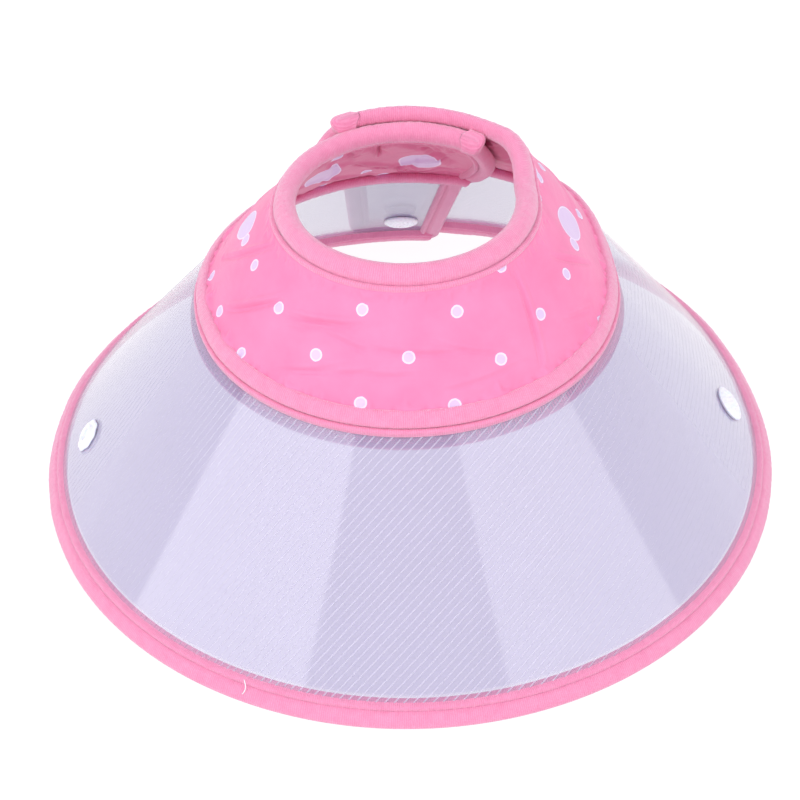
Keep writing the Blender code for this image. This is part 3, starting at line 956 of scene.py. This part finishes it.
def settle(points, pressure, spare, bending):
    """Cloth simulation of an open grid held at its seams: it puffs out and its spare cloth wrinkles."""
    columns, rows, _ = points.shape
    index = np.arange(columns * rows).reshape(columns, rows)
    mesh = bpy.data.meshes.new("cloth")
    scaled = points.reshape(-1, 3) * CLOTH_SCALE
    mesh.from_pydata(scaled.tolist(), [], sheet_faces(columns, rows).tolist())
    cloth = bpy.data.objects.new("cloth", mesh)
    bpy.context.scene.collection.objects.link(cloth)
    seams = cloth.vertex_groups.new(name="seams")
    held = np.unique(np.concatenate([index[:, :2], index[:, -2:]], axis=1).ravel())
    held = np.unique(np.concatenate([held, index[0], index[-1]]))
    seams.add([int(i) for i in held], 1.0, "REPLACE")
    modifier = cloth.modifiers.new("Cloth", "CLOTH")
    rules = modifier.settings
    for key, value in CLOTH_RULES.items():
        setattr(rules, key, value)
    rules.bending_stiffness = bending
    rules.vertex_group_mass = "seams"
    rules.shrink_min = -spare
    rules.use_pressure = True
    rules.uniform_pressure_force = pressure
    rules.effector_weights.gravity = 0.0
    modifier.point_cache.frame_start = 1
    modifier.point_cache.frame_end = CLOTH_FRAMES
    scene = bpy.context.scene
    for step in range(1, CLOTH_FRAMES + 1):
        scene.frame_set(step)
    graph = bpy.context.evaluated_depsgraph_get()
    result = cloth.evaluated_get(graph).to_mesh()
    settled = np.empty(columns * rows * 3, np.float32)
    result.vertices.foreach_get("co", settled)
    cloth.evaluated_get(graph).to_mesh_clear()
    scene.frame_set(1)
    bpy.data.objects.remove(cloth, do_unlink=True)
    return settled.reshape(columns, rows, 3).astype(float) / CLOTH_SCALE


def cap_movement(rest, moved, most):
    """Holds each point within this distance of where it started."""
    step = moved - rest
    length = np.linalg.norm(step, axis=-1, keepdims=True)
    return rest + step * np.minimum(1.0, most / np.maximum(length, 1e-9))


def finer(grid, axis):
    """The same grid with REFINE times as many steps along this axis, on a smooth curve through it."""
    grid = np.moveaxis(grid, axis, 0)
    places = np.linspace(0, len(grid) - 1, (len(grid) - 1) * REFINE + 1)
    low = np.minimum(places.astype(int), len(grid) - 2)
    share = (places - low).reshape(-1, *[1] * (grid.ndim - 1))
    padded = np.concatenate([2 * grid[:1] - grid[1:2], grid, 2 * grid[-1:] - grid[-2:-1]])
    a, b, c, d = padded[low], padded[low + 1], padded[low + 2], padded[low + 3]
    curve = share * (2 * a - 5 * b + 4 * c - d + share * (3 * (b - c) + d - a))
    return np.moveaxis(b + share * (c - a + curve) / 2, 0, axis)


def crease(slants, turns, start, stop, depth, width):
    """The depth at each place of one soft crease that runs from start to stop, each (turn, slant)."""
    x = arc_along(turns, CREASE_SLANT)
    a = np.array([arc_along(start[0], CREASE_SLANT), start[1]])
    b = np.array([arc_along(stop[0], CREASE_SLANT), stop[1]])
    run = b - a
    share = ((x - a[0]) * run[0] + (slants - a[1]) * run[1]) / (run @ run)
    held = np.clip(share, 0.0, 1.0)
    away = np.hypot(x - a[0] - held * run[0], slants - a[1] - held * run[1])
    side = np.sign((x - a[0]) * run[1] - (slants - a[1]) * run[0])
    fade = np.sin(math.pi * np.clip(share, 0.02, 0.98)) ** 0.5
    dip = np.exp(-((away / width) ** 2))
    swell = np.exp(-(((away - 1.9 * width) / (1.3 * width)) ** 2)) * (side > 0)
    return CREASE_DEPTH * depth * fade * (0.6 * swell - dip)


# Each crease: start and stop as (turn, slant), depth, width
COVER_CREASES = (
    ((48.0, 0.0750), (40.0, 0.1085), 0.00045, 0.0008),
    ((-93.0, 0.1000), (-69.0, 0.0730), 0.00055, 0.0009),
    ((-70.0, 0.1030), (-50.0, 0.0850), 0.00065, 0.0009),
    ((-46.0, 0.0880), (-15.0, 0.0825), 0.00032, 0.0008),
    ((-42.0, 0.0905), (-21.0, 0.0845), 0.00024, 0.0007),
    ((-40.0, 0.1060), (-18.0, 0.0965), 0.00030, 0.0009),
    ((-13.0, 0.0900), (18.0, 0.0925), 0.00036, 0.0009),
    ((-30.0, 0.0875), (-11.0, 0.0915), 0.00022, 0.0007),
    ((-19.0, 0.0990), (3.0, 0.0980), 0.00026, 0.0008),
    ((8.0, 0.0880), (31.0, 0.0975), 0.00024, 0.0008),
    ((-35.0, 0.1035), (-10.0, 0.0968), 0.00022, 0.0007),
    ((-39.0, 0.0865), (-20.0, 0.0835), 0.00020, 0.0007),
    ((70.0, 0.0810), (86.0, 0.0985), 0.00034, 0.0009),
    ((56.0, 0.0980), (70.0, 0.1050), 0.00030, 0.0009),
    ((10.0, 0.1040), (34.0, 0.1020), 0.00022, 0.0008),
    ((108.0, 0.0990), (142.0, 0.0900), 0.00040, 0.0010),
    ((120.0, 0.0800), (160.0, 0.0830), 0.00036, 0.0010),
    ((-132.0, 0.0900), (-104.0, 0.0960), 0.00036, 0.0010),
    ((-128.0, 0.1040), (-100.0, 0.1020), 0.00030, 0.0009),
    ((165.0, 0.1000), (196.0, 0.0950), 0.00036, 0.0010),
)
LINING_CREASES = (
    ((-168.0, 0.0730), (-169.0, 0.0830), 0.00110, 0.0007),
    ((-196.0, 0.0900), (-172.0, 0.1010), 0.00080, 0.0008),
    ((-174.0, 0.0990), (-160.0, 0.0900), 0.00090, 0.0008),
    ((-186.0, 0.1060), (-168.0, 0.0980), 0.00080, 0.0008),
    ((-180.0, 0.1110), (-176.0, 0.1000), 0.00090, 0.0007),
    ((-164.0, 0.1080), (-150.0, 0.1020), 0.00080, 0.0008),
    ((-160.0, 0.0790), (-146.0, 0.0860), 0.00060, 0.0008),
    ((-200.0, 0.0830), (-186.0, 0.0790), 0.00060, 0.0008),
    ((-150.0, 0.1000), (-120.0, 0.0930), 0.00060, 0.0009),
    ((-120.0, 0.0850), (-95.0, 0.0940), 0.00050, 0.0009),
    ((-60.0, 0.0900), (-20.0, 0.0950), 0.00050, 0.0010),
    ((0.0, 0.0850), (30.0, 0.0900), 0.00045, 0.0010),
    ((50.0, 0.0950), (90.0, 0.0880), 0.00050, 0.0010),
    ((110.0, 0.0880), (150.0, 0.0950), 0.00050, 0.0010),
)


def make_cushion_layer(name, slant_span, face, base, dome, creases, finish, nodes, cloth):
    """The padded cover (face 1) or the lining (face -1): a cloth layer sewn down along its edges."""
    rows, step = 26, 1.25
    slants = np.linspace(slant_span[0], slant_span[1], rows)
    turns, split = stations(slants, step, 0.0035)
    grid_slants = np.broadcast_to(slants, turns.shape)
    share = (grid_slants - slant_span[0]) / (slant_span[1] - slant_span[0])
    ends = smooth((turns - turns[:1]) / 6.0) * smooth((turns[-1:] - turns) / 6.0)
    under_strip = smooth((turns + 145.0) / 10.0) if face > 0 else 1.0
    hill = np.sin(math.pi * np.clip(share, 0.0, 1.0)) ** 0.7 * (0.35 + 0.65 * ends)
    lifts = base + dome * hill * (0.45 + 0.55 * under_strip)
    lifts = lifts + 0.00010 * noise(turns / 9.0, grid_slants / 0.011, 21 + face) * hill
    rest = on_cone(grid_slants, turns, face * lifts)
    moved = rest
    moved = cap_movement(rest, settle(rest, *cloth), MOST_PUFF)
    moved, turns, grid_slants = [finer(finer(grid, 0), 1) for grid in (moved, turns, grid_slants)]
    split = split * REFINE
    depth = sum(crease(grid_slants, turns, *line) for line in creases)
    depth = depth + 0.00006 * noise(turns / 4.0, grid_slants / 0.0016, 41 + face)
    level = np.full_like(grid_slants, face * base)
    outward_way = on_cone(grid_slants, turns, level + face * 0.001) - on_cone(grid_slants, turns, level)
    share = (grid_slants - slant_span[0]) / (slant_span[1] - slant_span[0])
    edge_fade = np.minimum(1.0, np.minimum(share, 1 - share) * 8)
    top = moved + outward_way * (depth * edge_fade / 0.001)[..., None]
    under = on_cone(grid_slants, turns, face * (base - 0.0006))
    points, uv = two_faced(top, under, unrolled(grid_slants, turns))
    return split_ribbon(name, points, uv, split, finish, nodes)


def make_collar(materials):
    """The padded cover, which also hides the wadding, and the lining."""
    cover = make_cushion_layer(
        "padded_cover", CUSHION_SLANTS, 1, COVER_LIFT, COVER_DOME, COVER_CREASES,
        materials["cover"], ("collar_cover", "collar_wadding"), (2.5, 0.030, 0.25),
    )
    lining = make_cushion_layer(
        "lining", LINING_SLANTS, -1, LINING_LIFT, LINING_DOME, LINING_CREASES,
        materials["lining"], ("collar_lining",), (0.6, 0.035, 0.12),
    )
    middle = sum(LINING_SLANTS) / 2
    ends = {"left": inner_end(middle), "right": outer_end(middle)}
    for side, piece in lining.items():
        length = float(arc_along(abs(ends[side] - SPLIT_TURN), middle))


# --- The plastic sheet ------------------------------------------------------------------------------


def make_sheet(materials):
    """The clear sheet, and the fine lines moulded on its outer face."""
    slants = np.linspace(SHEET_TOP, SHEET_FOOT, 26)
    outline = [(slant, SHEET_HALF) for slant in slants] + [(slant, -SHEET_HALF) for slant in slants[::-1]]

    def level(grid_slants, turns, lifts):
        return lifts

    points, turns, split = wrap(outline, 1.0, 0.0020, level)
    uv = unrolled(np.broadcast_to(np.array(outline)[:, 0], turns.shape), turns)
    split_ribbon("sheet", points, uv, split, materials["sheet"], ("sheet",))
    make_lines(materials["lines"])


def line_runs():
    """Each moulded line's stretches on the sheet, as (side, points on the unrolled sheet)."""
    way = np.array([math.cos(LINE_ANGLE), math.sin(LINE_ANGLE)])
    aside = np.array([-way[1], way[0]])
    cut = math.radians(SPLIT_TURN) * SIN
    cut_way = np.array([math.sin(cut), -math.cos(cut)])
    reach = RIM_SLANT
    for number in range(-int(reach / LINE_PITCH), int(reach / LINE_PITCH) + 1):
        foot = aside * number * LINE_PITCH
        distances = np.arange(-reach, reach, LINE_STEP)
        crossing = np.linalg.solve(np.stack([way, -cut_way], axis=1), -foot)
        if crossing[1] > 0:
            distances = np.sort(np.append(distances, crossing[0]))
        spots = foot + distances[:, None] * way
        slants, turns = rolled(spots)
        clear = (slants > LINE_SLANTS[0]) & (slants < LINE_SLANTS[1])
        edge = degrees_along(0.0060, slants)
        held = np.clip(slants, LINE_SLANTS[0], LINE_SLANTS[1])
        clear &= (turns > inner_end(held) + edge) & (turns < outer_end(held) - edge)
        right = turns > SPLIT_TURN
        at_cut = np.abs(turns - SPLIT_TURN) < 1e-6
        for side, mine in (("left", clear & (~right | at_cut)), ("right", clear & (right | at_cut))):
            marks = np.flatnonzero(mine)
            for run in np.split(marks, np.flatnonzero(np.diff(marks) > 1) + 1):
                if len(run) > 1:
                    yield side, slants[run], turns[run]


def make_lines(finish):
    """A low rounded ridge along each stretch of moulded line."""
    blocks = {"right": [], "left": []}
    aside = np.array([-math.sin(LINE_ANGLE), math.cos(LINE_ANGLE)])
    profile = ((-1.0, -0.1), (0.0, 1.0), (1.0, -0.1))
    for side, slants, turns in line_runs():
        flat = unrolled(slants, turns)
        edges = []
        for across, height in profile:
            slants, turns = rolled(flat + aside * across * LINE_HALF_WIDTH)
            raised = LINE_HEIGHT * (1 - 0.6 * smooth((np.abs(turns) - 35.0) / 40.0))
            edges.append(on_cone(slants, turns, SHEET_HALF + height * raised))
        blocks[side].append((np.stack(edges, axis=1).reshape(-1, 3), np.repeat(flat, len(profile), axis=0)))
    for side, parts in blocks.items():
        points = np.concatenate([block for block, _ in parts])
        uv = np.concatenate([flat for _, flat in parts])
        faces = []
        first = 0
        for block, _ in parts:
            faces += sheet_faces(len(block) // len(profile), len(profile), first).tolist()
            first += len(block)
        piece = make_piece(f"sheet_lines_{side}", points, faces, uv, finish)
        bend(piece, side)


# --- Hook and loop ----------------------------------------------------------------------------------


def make_strips(finish):
    """The loop strip on the inner wing's cover and the hook strip on the outer wing's lining."""
    for node, body, sign, seed in (("loop_strip", "inner_wing", 1, 31), ("hook_strip", "outer_wing", -1, 32)):
        slants, turns, lifts = cone_places(corners_of(node))
        turns = turns % 360.0
        columns = np.linspace(turns.min(), turns.max(), 130)
        if body == "inner_wing":
            columns = columns - 360.0
        rows = np.linspace(slants.min(), slants.max(), 66)
        if body == "inner_wing":
            seat, face = np.array([lifts.min(), lifts.max()]) - overlap_lift(rows.mean(), columns.mean())
        else:
            seat, face = HOOK_LIFTS
        grid_turns, grid_slants = np.meshgrid(columns, rows, indexing="ij")
        tuft = noise(grid_turns / 0.9, grid_slants / 0.0007, seed) * 0.00014
        top = on_cone(grid_slants, grid_turns, face + sign * tuft)
        under = on_cone(grid_slants, grid_turns, np.full_like(tuft, seat))
        points, uv = facing_out(*two_faced(top, under, unrolled(grid_slants, grid_turns)))
        piece = tube_piece(f"{node}_pile", points, uv, finish)
        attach(piece, body)
        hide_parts(node)
        length = float(arc_along(columns[-1] - columns[0], rows.mean()))


# --- Snaps ------------------------------------------------------------------------------------------


def snap_place(node, body):
    """The slant and turn of a snap part, from its CAD solid. On the outer wing the turn runs on past 180."""
    corners = corners_of(node)
    middle = (corners.min(axis=0) + corners.max(axis=0)) / 2
    slants, turns, _ = cone_places(middle[None])
    return slants[0], turns[0] % 360.0 if body == "outer_wing" else turns[0]


def turned_piece(node, profile, scallop, face, body, finish):
    """A turned snap part standing on one face of the sheet. scallop(radius, angle) shifts the radius."""
    angles = np.linspace(0.0, math.tau, 72, endpoint=False)
    radius, height = np.array(profile).T
    grid_angle, grid_radius = np.meshgrid(angles, radius, indexing="ij")
    grid_radius = scallop(grid_radius, grid_angle)
    grid_height = np.broadcast_to(height, grid_radius.shape)
    x, y = grid_radius * np.cos(grid_angle), grid_radius * np.sin(grid_angle)
    local = np.stack([x, y, grid_height], axis=-1)
    slant, turn = snap_place(node, body)
    here, there = [Vector(on_cone(slant, turn, face * lift)) for lift in (SHEET_HALF, SHEET_HALF + 0.01)]
    facing = (there - here).normalized().to_track_quat("Z", "Y")
    pose = np.array(Matrix.LocRotScale(here, facing, None))
    world = local @ pose[:3, :3].T + pose[:3, 3]
    index = np.arange(grid_angle.size).reshape(grid_angle.shape)
    wrapped = np.roll(index, -1, axis=0)
    faces = np.stack([wrapped[:, :-1], wrapped[:, 1:], index[:, 1:], index[:, :-1]], axis=-1)
    piece = make_piece(f"{node}_moulding", world, faces.reshape(-1, 4).tolist(), local[..., :2], finish)
    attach(piece, body)
    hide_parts(node)


def rounded_profile(corners, bend_radius):
    """A profile through these corners, each rounded by a short arc of about this radius."""
    points = [corners[0]]
    for before, here, after in zip(corners, corners[1:], corners[2:]):
        here = np.array(here)
        into, out = np.array(before) - here, np.array(after) - here
        reach = min(bend_radius, np.linalg.norm(into) / 2, np.linalg.norm(out) / 2)
        first = here + into / np.linalg.norm(into) * reach
        last = here + out / np.linalg.norm(out) * reach
        for share in np.linspace(0.0, 1.0, 5):
            curve = (1 - share) ** 2 * first + 2 * share * (1 - share) * here + share**2 * last
            points.append(tuple(curve))
    points.append(corners[-1])
    return points


def plain_round(radius, angle):
    return radius


def scalloped(radius, angle):
    """Eight shallow petals on the outer edge."""
    share = smooth((radius - 0.0035) / 0.0025)
    return radius * (1 + 0.045 * share * np.cos(8 * angle))


# The snaps' half profiles, as (radius, height) from the middle of the top round to the middle underneath
CAP_PROFILE = (
    (0.00001, 0.0020), (0.0052, 0.00185), (0.0070, 0.0010), (0.0071, 0.00005), (0.00001, 0.00005),
)
SOCKET_PROFILE = (
    (0.00001, 0.0004), (0.0022, 0.0004), (0.0024, 0.0017), (0.0034, 0.0019),
    (0.0044, 0.0009), (0.0056, 0.0009), (0.0062, 0.0005), (0.0062, 0.00002), (0.00001, 0.00002),
)
STUD_PROFILE = (
    (0.00001, 0.0025), (0.0019, 0.0025), (0.0023, 0.0019), (0.0019, 0.0010),
    (0.0058, 0.0009), (0.0062, 0.0005), (0.0062, 0.00002), (0.00001, 0.00002),
)


def make_snaps(finish):
    """The press snaps' caps, sockets and studs. Face 1 is the sheet's outer face, and -1 its inner one."""
    cap = (rounded_profile(CAP_PROFILE, 0.0008), plain_round)
    socket = (rounded_profile(SOCKET_PROFILE, 0.0004), scalloped)
    stud = (rounded_profile(STUD_PROFILE, 0.0004), plain_round)
    layout = (
        ("snap_left_cap", cap, -1, "inner_wing"),
        ("snap_left_socket", socket, 1, "inner_wing"),
        ("snap_right_cap", cap, 1, "outer_wing"),
        ("snap_right_stud", stud, -1, "outer_wing"),
        ("snap_back_inner_cap", cap, -1, "inner_wing"),
        ("snap_back_socket", socket, 1, "inner_wing"),
        ("snap_back_outer_cap", cap, 1, "outer_wing"),
        ("snap_back_stud", stud, -1, "outer_wing"),
    )
    for node, form, face, body in layout:
        turned_piece(node, *form, face, body, finish)


def make_loose_thread(finish):
    """A short end of sewing thread left lying over the rim's tape."""
    share = np.linspace(0.0, 1.0, 16)
    slants = RIM_NOSE - 0.0078 + 0.0048 * share
    turns = -25.4 + 0.5 * np.sin(share * 3.0) + 0.2 * share
    lifts = 0.0021 + 0.0005 * np.sin(math.pi * share)
    path = on_cone(slants, turns, lifts)
    forward = unit(np.gradient(path, axis=0))
    up = unit(np.cross(forward, np.cross(np.array([0.0, -1.0, 0.6]), forward)))
    sides = np.linspace(0.0, math.tau, 8, endpoint=False)
    points = path[:, None] + ring_round(np.cross(forward, up), up, sides) * LOOSE_THREAD_RADIUS
    uv = np.stack(np.broadcast_arrays(slants[:, None], sides * LOOSE_THREAD_RADIUS), axis=-1)
    piece = tube_piece("loose_thread", points, uv, finish)
    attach(piece, "front")


# --- Stage ------------------------------------------------------------------------------------------


def make_camera():
    """The photograph's viewpoint: in front and above, a long lens aimed at the collar's middle."""
    elevation = math.radians(42.95)
    distance = 0.7737
    aim = elevation + math.radians(-1.481)
    yaw = math.radians(-0.333)
    roll = math.radians(-1.18)
    drop = 0.0012
    place = Vector((0.0, -math.cos(elevation), math.sin(elevation))) * distance - Vector((0, 0, drop))
    forward = Vector((math.sin(yaw) * math.cos(aim), math.cos(yaw) * math.cos(aim), -math.sin(aim)))
    right = forward.cross(Vector((0, 0, 1))).normalized()
    up = right.cross(forward)
    turned_right = right * math.cos(roll) + up * math.sin(roll)
    turned_up = up * math.cos(roll) - right * math.sin(roll)
    data = bpy.data.cameras.new("camera")
    data.sensor_width = 36.0
    data.lens = 92.2
    camera = bpy.data.objects.new("camera", data)
    axes = Matrix((turned_right, turned_up, -forward)).transposed()
    camera.matrix_world = Matrix.Translation(place) @ axes.to_4x4()
    bpy.context.scene.collection.objects.link(camera)
    bpy.context.scene.camera = camera


def softbox(name, azimuth, elevation, distance, width, height, power):
    """A rectangular lamp facing the collar, azimuth degrees round from the front towards +X."""
    turn, rise = math.radians(azimuth), math.radians(elevation)
    way = Vector((math.sin(turn) * math.cos(rise), -math.cos(turn) * math.cos(rise), math.sin(rise)))
    target = Vector((0.0, 0.0, 0.05))
    data = bpy.data.lights.new(name, "AREA")
    data.shape = "RECTANGLE"
    data.size = width
    data.size_y = height
    data.energy = power
    lamp = bpy.data.objects.new(name, data)
    lamp.location = target + way * distance
    lamp.rotation_mode = "QUATERNION"
    lamp.rotation_quaternion = way.to_track_quat("Z", "Y")
    bpy.context.scene.collection.objects.link(lamp)


# Each softbox: name, azimuth, elevation, distance, width, height, power
SOFTBOXES = (
    ("softbox_left", -58.5, 31.0, 1.7, 1.60, 1.85, 15.0),
    ("softbox_right", 54.5, 31.0, 1.7, 1.60, 1.85, 11.8),
    ("softbox_above", -20.0, 84.0, 1.8, 1.80, 1.80, 9.5),
)


def make_stage():
    """A pale floor, a bright surround and three softboxes."""
    points = np.array([[-6, -6, 0], [6, -6, 0], [6, 6, 0], [-6, 6, 0]], float)
    points[:, 2] = CAD_LOW.z - 0.00005
    floor = make_piece("floor", points, [[0, 1, 2, 3]], points[:, :2].copy(), plain_floor())
    for lamp in SOFTBOXES:
        softbox(*lamp)
    world = bpy.data.worlds.new("surround")
    bpy.context.scene.world = world
    world.use_nodes = True
    tree = world.node_tree
    way = put(tree, "ShaderNodeTexCoord", {}, "Generated")
    height = put(tree, "ShaderNodeSeparateXYZ", {0: way}, 2)
    overhead = ramp(height, (0.02, 0.30), (0.0, 1.0))
    colour = mix_colours(overhead, (1.0, 1.0, 1.0, 1.0), (0.56, 0.56, 0.60, 1.0))
    feed(tree.nodes["Background"], {"Color": colour})
    bpy.context.scene.view_settings.view_transform = "Standard"


def main():
    make_camera()
    materials = make_materials()
    make_sheet(materials)
    make_collar(materials)
    make_ring_tapes(materials["fleece"])
    make_end_tapes(materials["fleece"])
    make_ring_stitches(materials["thread"])
    make_end_stitches(materials["thread"])
    make_strips(materials["hooks"])
    make_snaps(materials["snap"])
    make_loose_thread(materials["loose_thread"])
    make_stage()


main()
